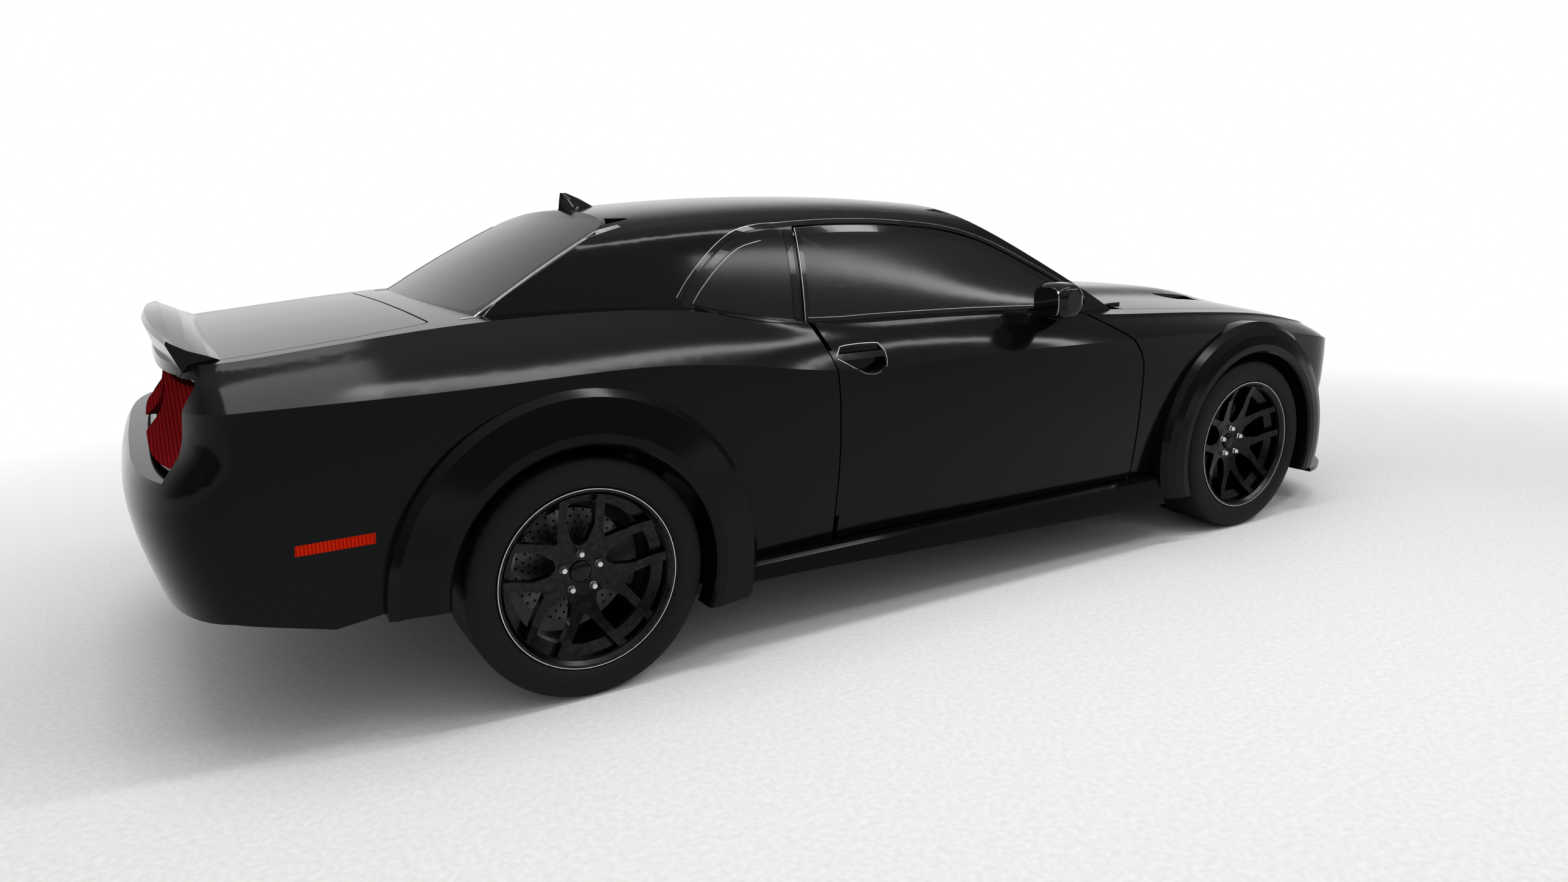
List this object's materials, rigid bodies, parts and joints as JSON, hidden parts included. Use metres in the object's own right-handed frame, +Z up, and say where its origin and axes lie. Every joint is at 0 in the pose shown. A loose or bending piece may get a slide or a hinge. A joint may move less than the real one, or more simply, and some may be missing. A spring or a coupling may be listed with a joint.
{
  "type": "two-door muscle car",
  "caption": "Wide-body two-door coupe on wide alloy wheels, with opening doors, hood and trunk lid, steered front wheels and a four-seat cabin.",
  "frame": {"origin": "on the ground, at the middle of the car's length and width", "axes": "+X towards the nose, +Y towards the car's left side, +Z up"},
  "size_m": [5.0125, 2.128, 1.4539],
  "materials": {
    "body_paint": "gloss black paint with a clear coat",
    "gloss_trim": "gloss black moulding",
    "grille_trim": "satin black moulding",
    "clear_lens": "clear lamp lens",
    "red_lens": "red lamp lens",
    "tinted_glass": "dark grey-green glass",
    "tyre_rubber": "black tyre rubber",
    "rim_black": "gloss black cast rim",
    "disc_steel": "machined disc with dark drillings",
    "chassis_steel": "black chassis paint",
    "underbody": "matt black underbody coat",
    "exhaust_steel": "dull steel",
    "engine_metal": "cast metal",
    "dash_plastic": "soft black moulding",
    "seat_leather": "black leather",
    "wheel_leather": "black leather"
  },
  "bodies": {
    "car_body": {"body_shell": "body_paint", "body_sides": "body_paint", "floor_pan": "underbody", "front_fenders": "body_paint", "front_bumper": "body_paint", "front_splitter": "gloss_trim", "rear_bumper": "body_paint", "wheel_flares": "body_paint", "side_skirts": "gloss_trim", "grille": "grille_trim", "front_lamps": "clear_lens", "rear_lamps": "red_lens", "windshield": "tinted_glass", "rear_glass": "tinted_glass", "quarter_glass": "tinted_glass", "antenna": "gloss_trim", "dashboard": "dash_plastic", "front_seats": "seat_leather", "rear_bench": "seat_leather", "engine": "engine_metal", "front_frame": "underbody", "front_suspension": "chassis_steel", "rear_suspension": "chassis_steel", "exhaust": "exhaust_steel"},
    "right_door": {"door_right": "body_paint", "door_glass_right": "tinted_glass", "mirror_right": "gloss_trim"},
    "left_door": {"door_left": "body_paint", "door_glass_left": "tinted_glass", "mirror_left": "gloss_trim"},
    "engine_hood": {"hood": "body_paint"},
    "boot_lid": {"trunk_lid": "body_paint", "rear_spoiler": "body_paint"},
    "right_knuckle": {"knuckle_front_right": "chassis_steel"},
    "left_knuckle": {"knuckle_front_left": "chassis_steel"},
    "driver_wheel": {"steering_wheel": "wheel_leather"},
    "right_front_wheel": {"tyre_front_right": "tyre_rubber", "rim_front_right": "rim_black", "brake_disc_front_right": "disc_steel"},
    "left_front_wheel": {"tyre_front_left": "tyre_rubber", "rim_front_left": "rim_black", "brake_disc_front_left": "disc_steel"},
    "right_rear_wheel": {"tyre_rear_right": "tyre_rubber", "rim_rear_right": "rim_black", "brake_disc_rear_right": "disc_steel"},
    "left_rear_wheel": {"tyre_rear_left": "tyre_rubber", "rim_rear_left": "rim_black", "brake_disc_rear_left": "disc_steel"}
  },
  "joints": [
    {"name": "right_door_swing", "type": "hinge", "parent": "car_body", "child": "right_door", "pos_m": [0.825, -0.922, 0.728], "axis": [0, 0, 1], "range_deg": [0, 65]},
    {"name": "left_door_swing", "type": "hinge", "parent": "car_body", "child": "left_door", "pos_m": [0.825, 0.922, 0.728], "axis": [0, 0, -1], "range_deg": [0, 65]},
    {"name": "hood_lift", "type": "hinge", "parent": "car_body", "child": "engine_hood", "pos_m": [1.012, 0, 0.96], "axis": [0, -1, 0], "range_deg": [0, 50]},
    {"name": "lid_lift", "type": "hinge", "parent": "car_body", "child": "boot_lid", "pos_m": [-1.55, 0, 1.054], "axis": [0, 1, 0], "range_deg": [0, 70]},
    {"name": "left_steer", "type": "hinge", "parent": "car_body", "child": "left_knuckle", "pos_m": [1.565, 0.74, 0.361], "axis": [0, 0, 1], "range_deg": [-30, 30]},
    {"name": "right_steer", "type": "hinge", "parent": "car_body", "child": "right_knuckle", "pos_m": [1.565, -0.74, 0.361], "axis": [0, 0, 1], "range_deg": [-30, 30]},
    {"name": "steering_turn", "type": "hinge", "parent": "car_body", "child": "driver_wheel", "pos_m": [0.44, 0.37, 0.85], "axis": [-0.9135, 0, 0.4067], "range_deg": [-450, 450]},
    {"name": "left_front_roll", "type": "hinge", "parent": "left_knuckle", "child": "left_front_wheel", "pos_m": [1.565, 0.828, 0.361], "axis": [0, 1, 0], "continuous": true},
    {"name": "left_rear_roll", "type": "hinge", "parent": "car_body", "child": "left_rear_wheel", "pos_m": [-1.386, 0.828, 0.361], "axis": [0, 1, 0], "continuous": true},
    {"name": "right_front_roll", "type": "hinge", "parent": "right_knuckle", "child": "right_front_wheel", "pos_m": [1.565, -0.828, 0.361], "axis": [0, 1, 0], "continuous": true},
    {"name": "right_rear_roll", "type": "hinge", "parent": "car_body", "child": "right_rear_wheel", "pos_m": [-1.386, -0.828, 0.361], "axis": [0, 1, 0], "continuous": true}
  ],
  "couplings": [
    {"joint": "right_steer", "follows": "left_steer", "ratio": 1},
    {"joint": "steering_turn", "follows": "left_steer", "ratio": 14}
  ]
}
